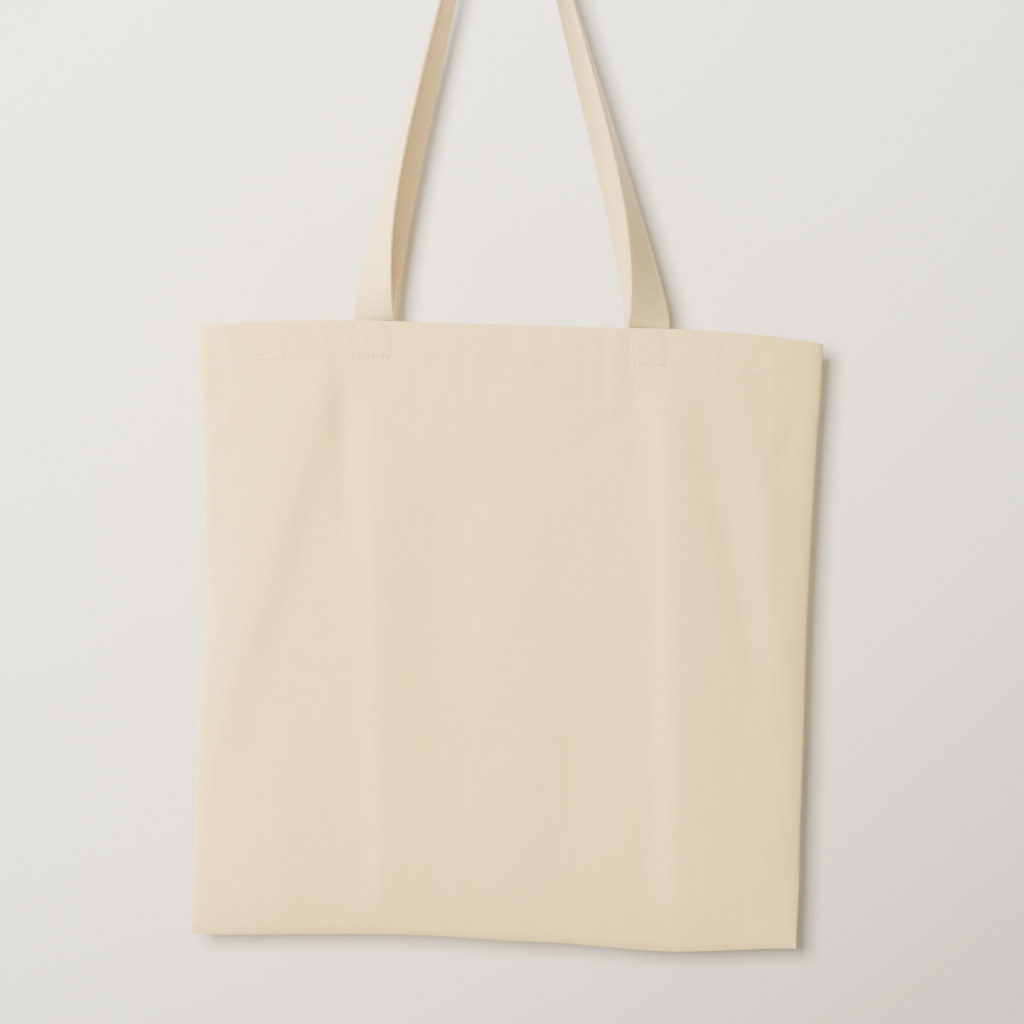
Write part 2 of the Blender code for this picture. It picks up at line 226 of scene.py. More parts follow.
# Each fold runs from one point to another, as (x from the bag's middle, distance below the top),
# bows out to its left by a distance, rises by a height (or dips, if negative), and falls away over
# one width on its left and another on its right. The last two are the shares of its length over
# which it fades in and out.
FRONT_FOLDS = (
    ((-0.099, 0.000), (-0.184, 0.305), 0.003, 0.0021, 0.026, 0.014, 0.15, 0.30),
    ((-0.1010, 0.016), (-0.098, 0.180), 0.0, -0.0006, 0.006, 0.007, 0.10, 0.60),
    ((-0.083, 0.018), (-0.066, 0.374), 0.002, 0.0012, 0.009, 0.022, 0.12, 0.10),
    ((0.064, -0.006), (0.065, 0.056), 0.0, 0.0007, 0.0030, 0.0032, 0.15, 0.45),
    ((0.057, 0.000), (0.056, 0.050), 0.0, -0.0004, 0.0030, 0.0030, 0.20, 0.50),
    ((0.0735, 0.004), (0.076, 0.060), 0.0, -0.0005, 0.0035, 0.0035, 0.20, 0.50),
    ((0.0935, 0.004), (0.111, 0.374), -0.002, 0.0021, 0.011, 0.036, 0.15, 0.10),
    ((0.109, 0.028), (0.160, 0.240), -0.002, -0.0010, 0.009, 0.014, 0.20, 0.35),
    ((0.148, 0.040), (0.172, 0.260), 0.0, 0.0008, 0.012, 0.010, 0.25, 0.35),
    ((0.082, 0.040), (-0.003, 0.0525), 0.003, -0.0005, 0.005, 0.006, 0.20, 0.45),
    ((0.084, 0.050), (0.028, 0.082), 0.003, -0.0005, 0.006, 0.008, 0.20, 0.50),
    ((-0.186, 0.080), (-0.156, 0.048), 0.0, 0.0006, 0.004, 0.005, 0.30, 0.40),
    ((-0.179, 0.006), (-0.176, 0.066), 0.0, -0.0006, 0.006, 0.006, 0.30, 0.40),
    ((0.178, 0.040), (0.160, 0.095), 0.0, -0.0005, 0.006, 0.006, 0.30, 0.40),
    ((-0.040, 0.060), (-0.030, 0.330), 0.004, -0.0006, 0.022, 0.030, 0.30, 0.30),
    ((0.030, 0.090), (0.050, 0.340), -0.003, -0.0006, 0.020, 0.024, 0.30, 0.30),
    ((-0.158, 0.300), (-0.105, 0.362), 0.0, 0.0006, 0.018, 0.018, 0.30, 0.30),
)
BACK_FOLDS = (
    ((-0.096, 0.002), (-0.166, 0.290), 0.003, 0.0018, 0.022, 0.016, 0.15, 0.35),
    ((-0.080, 0.024), (-0.062, 0.330), 0.0, 0.0012, 0.016, 0.016, 0.15, 0.30),
    ((-0.100, 0.030), (-0.112, 0.200), 0.0, -0.0009, 0.008, 0.010, 0.20, 0.45),
    ((0.096, 0.002), (0.140, 0.330), -0.003, 0.0018, 0.018, 0.026, 0.15, 0.30),
    ((0.078, 0.020), (0.048, 0.300), 0.0, 0.0010, 0.014, 0.018, 0.15, 0.35),
    ((0.104, 0.035), (0.108, 0.240), 0.0, -0.0008, 0.008, 0.010, 0.20, 0.45),
    ((-0.082, 0.042), (0.004, 0.056), -0.003, -0.0005, 0.006, 0.006, 0.20, 0.45),
    ((0.160, 0.300), (0.100, 0.360), 0.0, 0.0006, 0.018, 0.018, 0.30, 0.30),
)
FOLD_ROOM = 0.018          # folds fade out over this distance from the seams
PUCKERS_BETWEEN = 20       # short puckers along the hem's stitching, between the handles
PUCKERS_BESIDE = 14        # and on the rest of the hem


def fold(u, d, start, end, bow, rise, left, right, fade_in, fade_out):
    along_u = end[0] - start[0]
    along_d = end[1] - start[1]
    length = math.hypot(along_u, along_d)
    along_u /= length
    along_d /= length
    t = ((u - start[0]) * along_u + (d - start[1]) * along_d) / length
    aside = along_u * (d - start[1]) - along_d * (u - start[0])
    aside = aside - bow * 4.0 * t * (1.0 - t)
    width = np.where(aside > 0, left, right)
    return rise * np.exp(-(aside / width) ** 2) * ease(t / fade_in) * ease((1.0 - t) / fade_out)


def puckers(side):
    """Short upright puckers that cross the hem's stitching, as (u, d, rise, width, length)."""
    draw = random.Random(11 if side == FRONT else 12)
    made = []
    for k in range(PUCKERS_BETWEEN + PUCKERS_BESIDE):
        if k < PUCKERS_BETWEEN:
            u = draw.uniform(-0.066, 0.066)
        else:
            u = draw.choice((-1.0, 1.0)) * draw.uniform(0.098, 0.182)
        rise = draw.choice((-1.0, 1.0)) * draw.uniform(0.00016, 0.00042)
        made.append((u, draw.uniform(0.018, 0.027), rise, draw.uniform(0.0020, 0.0046),
                     draw.uniform(0.008, 0.018)))
    return made


PUCKERS = {FRONT: puckers(FRONT), BACK: puckers(BACK)}


def soft_noise(u, d, along_u, along_d, seed):
    """Smooth noise from -1 to 1 over the cloth; along_u and along_d are its lengths."""
    u, d = np.broadcast_arrays(np.asarray(u, float), np.asarray(d, float))
    flat = [noise.noise(Vector((a / along_u, b / along_d, seed))) for a, b in zip(u.flat, d.flat)]
    return np.array(flat).reshape(u.shape)


def box_relief(u, d, side):
    """The strap's end under the cloth, quilted by its box of stitching."""
    total = 0.0
    inset = BACK_HANDLE_INSET if side == BACK else 0.0
    half = (BOX_HIGH.x - BOX_LOW.x) / 2
    tall = (BOX_HIGH.z - BOX_LOW.z) / 2
    middle = HEM_TOP_Z - (BOX_HIGH.z + BOX_LOW.z) / 2
    for _hand_label, hand in HANDS:
        a = np.abs(u - hand * (HANDLE_SPACING / 2 - inset)) / half
        b = np.abs(d - middle) / tall
        inside = (1.0 - ease((a - 0.85) / 0.30)) * (1.0 - ease((b - 0.85) / 0.30))
        cross = np.exp(-((a - b) / 0.13) ** 2) + np.exp(-((np.maximum(a, b) - 1.0) / 0.12) ** 2)
        total = total + inside * 0.00030 - 0.00034 * cross * (1.0 - ease((np.maximum(a, b) - 1.0) / 0.2))
    return total


def relief(u, d, side):
    """How far the cloth stands out from its smooth shape, u from the middle and d below the top."""
    total = 0.0
    for values in (FRONT_FOLDS if side == FRONT else BACK_FOLDS):
        total = total + fold(u, d, *values)
    for place, depth, rise, width, length in PUCKERS[side]:
        total = total + rise * np.exp(-((u - place) / width) ** 2 - ((d - depth) / length) ** 2)
    seed = 3.0 * side
    total = total + 0.00045 * soft_noise(u, d, 0.045, 0.120, seed)
    total = total + 0.00016 * soft_noise(u, d, 0.014, 0.030, seed + 1.0)
    total = total + 0.00007 * soft_noise(u, d, 0.005, 0.012, seed + 2.0)
    room = dome((TOP_WIDTH / 2 - 0.006 - np.abs(u)) / FOLD_ROOM) * dome((BODY_HEIGHT - d) / FOLD_ROOM)
    in_hem = 1.0 - ease((d - HEM_HEIGHT) / 0.012)
    calmed = total * room * (1.0 - 0.45 * in_hem)
    row = -0.00024 * np.exp(-((d - HEM_ROW_DROP) / 0.0011) ** 2)
    step = 0.00022 * in_hem * (1.0 - ease((d - HEM_HEIGHT + 0.001) / 0.002))
    return calmed + row + step + box_relief(u, d, side)


# ---------------------------------------------------------------------------
# Meshes
# ---------------------------------------------------------------------------

def grid_faces(rows, columns, first=0, flip=False):
    """Quads between the points of a grid, stored row by row."""
    index = first + np.arange(rows * columns).reshape(rows, columns)
    quads = np.stack([index[:-1, :-1], index[:-1, 1:], index[1:, 1:], index[1:, :-1]], axis=-1)
    quads = quads.reshape(-1, 4)
    return quads[:, ::-1] if flip else quads


def add_mesh(name, points, faces, uv, material, sharp=None):
    """A mesh object from points, lists of faces, and one UV pair per point."""
    mesh = bpy.data.meshes.new(name)
    mesh.from_pydata(points.tolist(), [], [list(map(int, face)) for face in faces])
    mesh.validate()
    corners = np.empty(len(mesh.loops), np.int32)
    mesh.loops.foreach_get("vertex_index", corners)
    layer = mesh.uv_layers.new(name="UVMap")
    layer.data.foreach_set("uv", np.asarray(uv, np.float32)[corners].ravel())
    mesh.shade_smooth()
    if sharp is not None:
        mesh.set_sharp_from_angle(angle=math.radians(sharp))
    mesh.materials.append(material)
    piece = bpy.data.objects.new(name, mesh)
    bpy.context.scene.collection.objects.link(piece)
    return piece


def grid_normals(grid):
    down = np.gradient(grid, axis=0)
    right = np.gradient(grid, axis=1)
    normal = np.cross(right, down)
    return normal / np.maximum(np.linalg.norm(normal, axis=-1, keepdims=True), 1e-12)


def thick_sheet(middle, thickness, uv):
    """Points, faces and UVs of a closed thin body around a grid of middle points."""
    rows, columns = middle.shape[:2]
    normal = grid_normals(middle)
    count = rows * columns
    points = np.concatenate([(middle + normal * thickness / 2).reshape(-1, 3),
                             (middle - normal * thickness / 2).reshape(-1, 3)])
    index = np.arange(count).reshape(rows, columns)
    rim = np.concatenate([index[0, :], index[1:, -1], index[-1, -2::-1], index[-2:0:-1, 0]])
    following = np.roll(rim, -1)
    band = np.stack([rim, rim + count, following + count, following], axis=-1)
    faces = np.concatenate([grid_faces(rows, columns, 0, True), grid_faces(rows, columns, count),
                            band[:, ::-1]])
    return points, faces, np.concatenate([uv.reshape(-1, 2)] * 2)


# ---------------------------------------------------------------------------
# Cloth
# ---------------------------------------------------------------------------

COLUMNS = 236
BODY_ROWS = 96
CURL = ((0.00010, 0.35), (0.00035, 0.72), (0.00100, 1.0))   # inset from the edge, share turned in
INNER_INSET = (0.0022, 0.0018, 0.0014)                       # the same columns on the hem's inside


def cloth_columns():
    """Per column: across, inset on the outer layer, inset on the hem's inner layers, turn-in."""
    s = np.linspace(-1.0, 1.0, COLUMNS)
    across = 0.25 * s + 0.75 * np.sin(np.pi / 2 * s)
    columns = [(a, 0.0, 0.0026 * abs(a), 0.0) for a in across]
    for (inset, turn), inner in zip(CURL, INNER_INSET):
        columns.insert(0, (-1.0, inset, inner, turn))
        columns.append((1.0, inset, inner, turn))
    return [np.array(values) for values in zip(*columns)]


def cloth_rows():
    """Per row: up (0 to 1 below the hem), drop from the top edge (or -1), layer offset, share of
    outer layer, rise above the bottom edge and turn-in. They run from the bottom seam up over the
    panel, over the top fold, down the hem's inside, and up again between it and the panel."""
    rows = [(0.0, -1.0, PANEL_MID, 1.0, inset, turn) for inset, turn in reversed(CURL)]
    for j in range(BODY_ROWS + 1):
        t = j / BODY_ROWS
        rows.append((0.35 * t ** 2.2 + 0.65 * t if t < 1 else 1.0, -1.0, PANEL_MID, 1.0, 0.0, 0.0))
    top_radius = (PANEL_MID - INNER_MID) / 2
    top_centre = top_radius + CLOTH / 2
    for drop in np.linspace(HEM_HEIGHT, top_centre, 20)[1:]:
        rows.append((1.0, drop, PANEL_MID, 1.0, 0.0, 0.0))
    for angle in np.linspace(0.0, math.pi, 8)[1:]:
        offset = (PANEL_MID + INNER_MID) / 2 + top_radius * math.cos(angle)
        rows.append((1.0, top_centre - top_radius * math.sin(angle), offset,
                     1.0 - angle / math.pi, 0.0, 0.0))
    low_radius = (TURNED_MID - INNER_MID) / 2
    low_centre = HEM_HEIGHT - low_radius - CLOTH / 2
    for drop in np.linspace(top_centre, low_centre, 14)[1:]:
        rows.append((1.0, drop, INNER_MID, 0.0, 0.0, 0.0))
    for angle in np.linspace(0.0, math.pi, 6)[1:]:
        offset = (TURNED_MID + INNER_MID) / 2 - low_radius * math.cos(angle)
        rows.append((1.0, low_centre + low_radius * math.sin(angle), offset, 0.0, 0.0, 0.0))
    for drop in np.linspace(low_centre, 0.0022, 8)[1:]:
        rows.append((1.0, drop, TURNED_MID, 0.0, 0.0, 0.0))
    return [np.array(values) for values in zip(*rows)]


def make_cloth(label, side, material):
    across, outer_inset, inner_inset, side_turn = (v[None, :] for v in cloth_columns())
    up, drop, offset, outer, bottom_rise, bottom_turn = (v[:, None] for v in cloth_rows())
    top = top_edge_z(across)
    hem_line = top - HEM_HEIGHT
    z = np.where(drop < 0, BOTTOM_Z + up * (hem_line - BOTTOM_Z), top - drop)
    u = across * half_width(z)
    y = half_gap(across, z) + offset + relief(u, HEM_TOP_Z - z, side)
    turn = np.maximum(side_turn * outer, bottom_turn + 0.0 * across)
    y = y * (1.0 - turn) + SEAM_Y * turn
    inset = outer_inset * outer + inner_inset * (1.0 - outer)
    x = CENTRE_X + u + edge_shift(across, z) - np.sign(across) * inset
    z = z + bottom_rise + bottom_shift(across, z)
    middle = np.stack([x, side * y, z], axis=-1)
    steps = np.linalg.norm(np.diff(middle[:, middle.shape[1] // 2], axis=0), axis=-1)
    length = np.concatenate([[0.0], np.cumsum(steps)])[:, None]
    uv = np.stack([u - np.sign(across) * outer_inset + 0.0 * length, length + 0.0 * u], axis=-1)
    points, faces, uv = thick_sheet(middle if side == FRONT else middle[:, ::-1],
                                    CLOTH, uv if side == FRONT else uv[:, ::-1])
    piece = add_mesh(label + "_cloth", points, faces, uv, material, sharp=50)
    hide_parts(label + "_panel", label + "_hem")
    return piece


def ride_mouth(piece, side):
    """The back rides on its body. The front stays where it is made, with its transform baked into its
    mesh.
    """
    if side == BACK:
        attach(piece, "back")
        return
    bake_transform(piece)


def join_parts(parts):
    """Points, faces and UVs of several bodies as one mesh."""
    points, faces, uvs, first = [], [], [], 0
    for part_points, part_faces, part_uv in parts:
        points.append(part_points)
        faces.extend((np.asarray(face) + first) for face in part_faces)
        uvs.append(part_uv)
        first += len(part_points)
    return np.concatenate(points), faces, np.concatenate(uvs)


def make_side_allowance(label, hand, material):
    """The raw edges of both panels along one side seam, each a strip with a slight ripple."""
    z = np.linspace(BOTTOM_Z + ALLOWANCE_START, ALLOWANCE_HIGH.z, 90)[:, None]
    inset = np.linspace(ALLOWANCE_START, ALLOWANCE_END, 8)[None, :]
    parts = []
    for side in (FRONT, BACK):
        loose = (inset - ALLOWANCE_START) / (ALLOWANCE_END - ALLOWANCE_START)
        ripple = soft_noise(z, inset, 0.012, 0.010, 5.0 * side + hand)
        y = SEAM_Y + ALLOWANCE_SPREAD * loose * (1.0 + ripple)
        x = CENTRE_X + hand * (half_width(z) - inset) + edge_shift(np.array(hand), z)
        middle = np.stack([x, side * y, z + 0.0 * inset], axis=-1)
        uv = np.stack([inset + 0.0 * z, z + 0.0 * inset], axis=-1)
        if side * hand > 0:
            middle, uv = middle[:, ::-1], uv[:, ::-1]
        parts.append(thick_sheet(middle, CLOTH, uv))
    piece = add_mesh(label + "_seam_allowance_cloth", *join_parts(parts), material, sharp=50)
    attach(piece, "back")
    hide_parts(label + "_seam_allowance")
    return piece


def make_bottom_allowance(material):
    low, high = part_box("bottom_seam_allowance")
    x = np.linspace(low.x, high.x, 110)[None, :]
    rise = np.linspace(ALLOWANCE_START, high.z - BOTTOM_Z, 8)[:, None]
    across = (x - CENTRE_X) / (BOTTOM_WIDTH / 2)
    parts = []
    for side in (FRONT, BACK):
        loose = rise / (high.z - BOTTOM_Z)
        ripple = soft_noise(x, rise, 0.012, 0.010, 6.0 * side)
        y = SEAM_Y + ALLOWANCE_SPREAD * loose * (1.0 + ripple)
        z = BOTTOM_Z + rise + bottom_shift(across, BOTTOM_Z + rise)
        middle = np.stack([x + 0.0 * rise, side * y, z], axis=-1)
        uv = np.stack([x + 0.0 * rise, rise + 0.0 * x], axis=-1)
        if side == BACK:
            middle, uv = middle[:, ::-1], uv[:, ::-1]
        parts.append(thick_sheet(middle, CLOTH, uv))
    piece = add_mesh("bottom_seam_allowance_cloth", *join_parts(parts), material, sharp=50)
    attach(piece, "back")
    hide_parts("bottom_seam_allowance")
    return piece


# ---------------------------------------------------------------------------
# Straps
# ---------------------------------------------------------------------------

LEG_STATIONS = 84
PEG_STATIONS = 26
END_STATIONS = 10
FACE_POINTS = 15
EDGE_POINTS = 9


def twist(rise, side):
    """Angle from lying flat on the hem, at a height above it, in radians."""
    quick, reach = FRONT_TWIST if side == FRONT else BACK_TWIST
    even = (90.0 - quick) * min(rise / HANDLE_RISE, 1.0)
    return math.radians(quick * (1.0 - math.exp(-rise / reach)) + even)


def leg_lean(base_x, hand):
    """Tangent of the lean with which a leg's outer edge meets the peg."""
    start = Vector((hand * base_x, HEM_TOP_Z + EDGE_LAG))
    to_peg = Vector((hand * PEG_CENTRE.x, PEG_CENTRE.y)) - start
    aim = math.atan2(-to_peg.x, to_peg.y)
    return math.tan(aim - math.asin(PEG_ROUTE_RADIUS / to_peg.length))


def leg_route(side, hand):
    """Outer edge of one leg, from the hem to the peg, as (x, z, rise) triples."""
    inset = BACK_HANDLE_INSET if side == BACK else 0.0
    base_x = CENTRE_X + hand * (DROP_START - inset)
    lean = leg_lean(base_x, hand)
    end_rise = PEG_CENTRE.y + PEG_ROUTE_RADIUS * math.sin(math.atan(lean)) - HEM_TOP_Z
    route = []
    for i in range(LEG_STATIONS + 1):
        rise = end_rise * (i / LEG_STATIONS) ** 1.3
        shift = lean * (rise - EDGE_LAG * (1.0 - math.exp(-rise / EDGE_LAG)))
        route.append((base_x - hand * shift, HEM_TOP_Z + rise, rise))
    return route


def peg_route(left_end, right_end):
    """The arc over the peg, between the two legs."""
    angles = [math.atan2(z - PEG_CENTRE.y, x - PEG_CENTRE.x) for x, z, _rise in (left_end, right_end)]
    route = []
    for i in range(1, PEG_STATIONS):
        angle = angles[0] + (angles[1] - angles[0]) * i / PEG_STATIONS
        x = PEG_CENTRE.x + PEG_ROUTE_RADIUS * math.cos(angle)
        z = PEG_CENTRE.y + PEG_ROUTE_RADIUS * math.sin(angle)
        route.append((x, z, HANDLE_RISE))
    return route


def sewn_stations(side, hand):
    """The end of a strap inside the hem, from its tip up to the top edge."""
    inset = BACK_HANDLE_INSET if side == BACK else 0.0
    x = CENTRE_X + hand * (HANDLE_SPACING / 2 - inset)
    stations = []
    for i in range(END_STATIONS):
        z = HEM_TOP_Z - STRAP_END * (1.0 - i / END_STATIONS)
        stations.append((Vector((x, side * STRAP_BASE_Y, z)), Vector((-hand, 0.0, 0.0)),
                         Vector((0.0, side, 0.0))))
    return stations


def strap_stations(side):
    """Centre, width direction and outward direction of a strap, from its left end to its right."""
    left_leg = leg_route(side, LEFT)
    right_leg = leg_route(side, RIGHT)
    route = left_leg + peg_route(left_leg[-1], right_leg[-1]) + right_leg[::-1]
    edge = []
    for x, z, rise in route:
        near = STRAP_BASE_Y + (HANDLES_APART / 2 - STRAP_BASE_Y) * float(ease(rise / HANDLE_RISE))
        edge.append(Vector((x, side * near, z)))
    stations = []
    for i, (_x, _z, rise) in enumerate(route):
        before = edge[max(i - 1, 0)]
        after = edge[min(i + 1, len(edge) - 1)]
        along = (after - before).normalized()
        if i in (0, len(route) - 1):
            along = Vector((0.0, 0.0, 1.0 if i == 0 else -1.0))
        forward = Vector((0.0, side, 0.0))
        forward = (forward - along * forward.dot(along)).normalized()
        inward = forward.cross(along) * side
        angle = twist(rise, side)
        across = inward * math.cos(angle) + forward * math.sin(angle)
        outward = forward * math.cos(angle) - inward * math.sin(angle)
        stations.append((edge[i] + across * STRAP_WIDTH / 2, across, outward))
    return sewn_stations(side, LEFT) + stations + sewn_stations(side, RIGHT)[::-1]


def strap_section():
    """Outline of a folded strap as (a, b) pairs: two faces with a channel at each row of stitching,
    a folded edge, and an edge where the two folds meet in a groove."""
    half = STRAP_WIDTH / 2
    thick = STRAP_THICKNESS / 2
    shoulder = half - thick
    face_a = np.sin(np.linspace(-1.0, 1.0, FACE_POINTS) * math.pi / 2) * 0.35
    face_a = (face_a + 0.65 * np.linspace(-1.0, 1.0, FACE_POINTS)) * shoulder
    channel = np.exp(-((np.abs(face_a) - half + EDGE_ROW_INSET) / 0.0011) ** 2)
    face_b = thick * (0.97 - 0.16 * channel)
    turn = np.linspace(math.pi / 2, -math.pi / 2, EDGE_POINTS + 2)[1:-1]
    groove = 0.34 * np.exp(-(np.sin(turn) / 0.22) ** 2)
    upper = list(zip(face_a, face_b))
    open_edge = [(shoulder + thick * (math.cos(t) - g), thick * 0.94 * math.sin(t))
                 for t, g in zip(turn, groove)]
    fold_edge = [(-shoulder - thick * math.cos(t), -thick * 0.94 * math.sin(t)) for t in turn]
    lower = [(a, -b) for a, b in reversed(upper)]
    return np.array(upper + open_edge + lower + fold_edge)


def make_strap(label, side, material):
    stations = strap_stations(side)
    centre, across, outward = (np.array([list(s[k]) for s in stations]) for k in range(3))
    section = strap_section()
    steps = np.linalg.norm(np.diff(centre, axis=0), axis=-1)
    length = np.concatenate([[0.0], np.cumsum(steps)])
    count = len(section)
    a, b = section[:, 0][None, :], section[:, 1][None, :]
    wobble = soft_noise(length[:, None], a + b, 0.026, 0.012, 7.0 * side)
    a = a * (1.0 + 0.012 * wobble)
    b = b + 0.00006 * wobble
    a[[0, -1]] *= 0.985
    b[[0, -1]] *= 0.70
    points = centre[:, None] + across[:, None] * a[..., None] + outward[:, None] * b[..., None]
    rows = len(centre)
    index = np.arange(rows * count).reshape(rows, count)
    nxt = np.roll(index, -1, axis=1)
    quads = np.stack([index[:-1], nxt[:-1], nxt[1:], index[1:]], axis=-1).reshape(-1, 4)
    faces = [list(quad) for quad in quads] + [list(index[0][::-1]), list(index[-1])]
    around = np.concatenate([[0.0], np.cumsum(np.linalg.norm(np.diff(section, axis=0), axis=-1))])
    uv = np.stack(np.broadcast_arrays(around[None, :], length[:, None]), axis=-1).reshape(-1, 2)
    if side == BACK:
        faces = [face[::-1] for face in faces]
    piece = add_mesh(label + "_strap_band", points.reshape(-1, 3), faces, uv, material, sharp=60)
    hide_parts(label + "_handle", label + "_left_handle_end", label + "_right_handle_end")
    ride_strap(piece)
    return piece, float(length[-1])


def ride_strap(piece):
    """A strap stays where it is made, with its transform baked into its mesh."""
    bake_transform(piece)


# ---------------------------------------------------------------------------
# Thread
# ---------------------------------------------------------------------------

STITCH_RINGS = ((0.0, 0.55, -0.9), (0.12, 0.92, 0.15), (0.5, 1.0, 0.62), (0.88, 0.92, 0.15),
                (1.0, 0.55, -0.9))     # along, radius and lift of each ring, in radii
STITCH_SIDES = 7


def stitches(starts, ends, normals, radius=THREAD_RADIUS):
    """Points, faces and UVs of many stitches: short arcs of thread whose ends sink in the cloth."""
    starts, ends, normals = (np.asarray(v, float).reshape(-1, 3) for v in (starts, ends, normals))
    run = ends - starts
    length = np.linalg.norm(run, axis=-1, keepdims=True)
    normals = normals - run * (np.sum(normals * run, axis=-1, keepdims=True) / length ** 2)
    normals /= np.linalg.norm(normals, axis=-1, keepdims=True)
    aside = np.cross(run / length, normals)
    turn = np.linspace(0.0, 2 * math.pi, STITCH_SIDES, endpoint=False)
    rings = []
    for t, thick, lift in STITCH_RINGS:
        middle = starts + run * t + normals * radius * lift
        ring = (middle[:, None] + aside[:, None] * (np.cos(turn) * radius * thick)[None, :, None]
                + normals[:, None] * (np.sin(turn) * radius * thick)[None, :, None])
        rings.append(ring)
    points = np.stack(rings, axis=1)
    count = len(starts)
    per_stitch = len(STITCH_RINGS) * STITCH_SIDES
    index = np.arange(per_stitch).reshape(len(STITCH_RINGS), STITCH_SIDES)
    nxt = np.roll(index, -1, axis=1)
    quads = np.stack([index[:-1], nxt[:-1], nxt[1:], index[1:]], axis=-1).reshape(-1, 4)
    faces = []
    for k in range(count):
        faces.extend(quads + k * per_stitch)
        faces.append(index[0][::-1] + k * per_stitch)
        faces.append(index[-1] + k * per_stitch)
    along = np.array([t for t, _thick, _lift in STITCH_RINGS])
    v = np.broadcast_to(along[None, :, None] * length[:, :, None], points.shape[:3])
    u = np.broadcast_to((turn / (2 * math.pi))[None, None, :] * 0.0016, points.shape[:3])
    return points.reshape(-1, 3), faces, np.stack([u, v], axis=-1).reshape(-1, 2)


def make_thread(name, parts, material, replaced):
    piece = add_mesh(name, *join_parts(parts), material)
    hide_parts(replaced)
    return piece


def row_places(first, last, pitch, seed):
    """Start and end of each stitch along a line from first to last."""
    draw = random.Random(seed)
    count = max(int(round((last - first) / pitch)), 1)
    step = (last - first) / count
    places = []
    for k in range(count):
        places.append((first + (k + 0.09 + draw.uniform(0.0, 0.05)) * step,
                       first + (k + 0.91 - draw.uniform(0.0, 0.05)) * step))
    return np.array(places)


def panel_point(u, d, side, offset):
    """A point of a panel, at an offset outward from its inside face."""
    u, d = np.broadcast_arrays(np.asarray(u, float), np.asarray(d, float))
    z = HEM_TOP_Z - d
    across = u / half_width(z)
    y = half_gap(across, z) + offset + relief(u, d, side)
    x = CENTRE_X + u + edge_shift(across, z)
    return np.stack([x, side * y, z], axis=-1)


def top_drop(u):
    return HEM_TOP_Z - top_edge_z(u / (TOP_WIDTH / 2))


def inner_offset(u, side):
    """Offset of the mouth's inside surface: the hem, or the strap's end where there is one."""
    inset = BACK_HANDLE_INSET if side == BACK else 0.0
    on_strap = np.abs(np.abs(u) - (HANDLE_SPACING / 2 - inset)) < STRAP_WIDTH / 2 + 0.0004
    strap_face = STRAP_BASE_Y - STRAP_THICKNESS / 2 - MIDDLE_HALF_GAP - HEM_STEP
    return np.where(on_strap, strap_face, INNER_MID - CLOTH / 2)


def make_hem_stitches(label, side, material):
    reach = half_width(HEM_TOP_Z - CORNER_DROP - HEM_ROW_DROP) - 0.0012
    places = row_places(-reach, reach, HEM_PITCH, 21 if side == FRONT else 22)
    outside = PANEL_MID + CLOTH / 2
    starts, ends = (panel_point(p, top_drop(p) + HEM_ROW_DROP, side, outside) for p in places.T)
    normals = np.tile((0.0, side, 0.0), (len(places), 1))
    parts = [stitches(starts, ends, normals)]
    near = places[np.abs(places[:, 0]) < reach - 0.012] + HEM_PITCH / 2
    middle = near.mean(axis=1)
    offset = inner_offset(middle, side)
    drops = top_drop(middle) + HEM_ROW_DROP
    starts, ends = (panel_point(p, drops, side, offset) for p in near.T)
    parts.append(stitches(starts, ends, np.tile((0.0, -side, 0.0), (len(near), 1))))
    piece = make_thread(label + "_hem_stitches", parts, material, label + "_hem_stitching")
    ride_mouth(piece, side)
    return piece


def make_box_stitches(label, hand_label, side, hand, material):
    low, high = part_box(f"{label}_{hand_label}_box_stitching")
    margin = 0.0005
    left, right = low.x - CENTRE_X + margin, high.x - CENTRE_X - margin
    top, bottom = HEM_TOP_Z - high.z + margin, HEM_TOP_Z - low.z - margin
    lines = (((left, top), (right, top)), ((right, top), (right, bottom)),
             ((right, bottom), (left, bottom)), ((left, bottom), (left, top)),
             ((left, top), (right, bottom)), ((right, top), (left, bottom)))
    parts = []
    for face_offset, facing in ((PANEL_MID + CLOTH / 2, side), (None, -side)):
        for k, (start, end) in enumerate(lines):
            start, end = np.array(start), np.array(end)
            length = float(np.linalg.norm(end - start))
            places = row_places(0.0005, length - 0.0005, BOX_PITCH, 31 + k) / length
            first, last = (start + (end - start) * places[:, [c]] for c in (0, 1))
            ends = []
            for points in (first, last):
                offset = inner_offset(points[:, 0], side) if face_offset is None else face_offset
                ends.append(panel_point(points[:, 0], points[:, 1], side, offset))
            if face_offset is None:
                for points in ends:
                    points[:, 1] = side * (STRAP_BASE_Y - STRAP_THICKNESS / 2 * 0.97)
            parts.append(stitches(ends[0], ends[1], np.tile((0.0, facing, 0.0), (len(places), 1))))
    name = f"{label}_{hand_label}_box"
    piece = make_thread(name + "_stitches", parts, material, name + "_stitching")
    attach(piece, label)
    return piece


def make_strap_stitches(label, row_label, side, offset, material):
    """A row of stitches along a strap, on both of its faces."""
    stations = [s for s in strap_stations(side) if s[0].z > HEM_TOP_Z + EDGE_ROW_START]
    centre, across, outward = (np.array([list(s[k]) for s in stations]) for k in range(3))
    parts = []
    for facing, seed in ((1.0, 41), (-1.0, 42)):
        line = centre + across * offset + outward * facing * STRAP_THICKNESS / 2 * 0.80
        steps = np.linalg.norm(np.diff(line, axis=0), axis=-1)
        length = np.concatenate([[0.0], np.cumsum(steps)])
        places = row_places(0.0, length[-1], STRAP_PITCH, seed)

        def at(values, where):
            return np.stack([np.interp(where, length, values[:, c]) for c in range(3)], axis=-1)

        parts.append(stitches(at(line, places[:, 0]), at(line, places[:, 1]),
                              at(outward * facing, places.mean(axis=1))))
    name = f"{label}_handle_{row_label}"
    piece = make_thread(name + "_stitches", parts, material, name + "_topstitch")
    ride_strap(piece)
    return piece


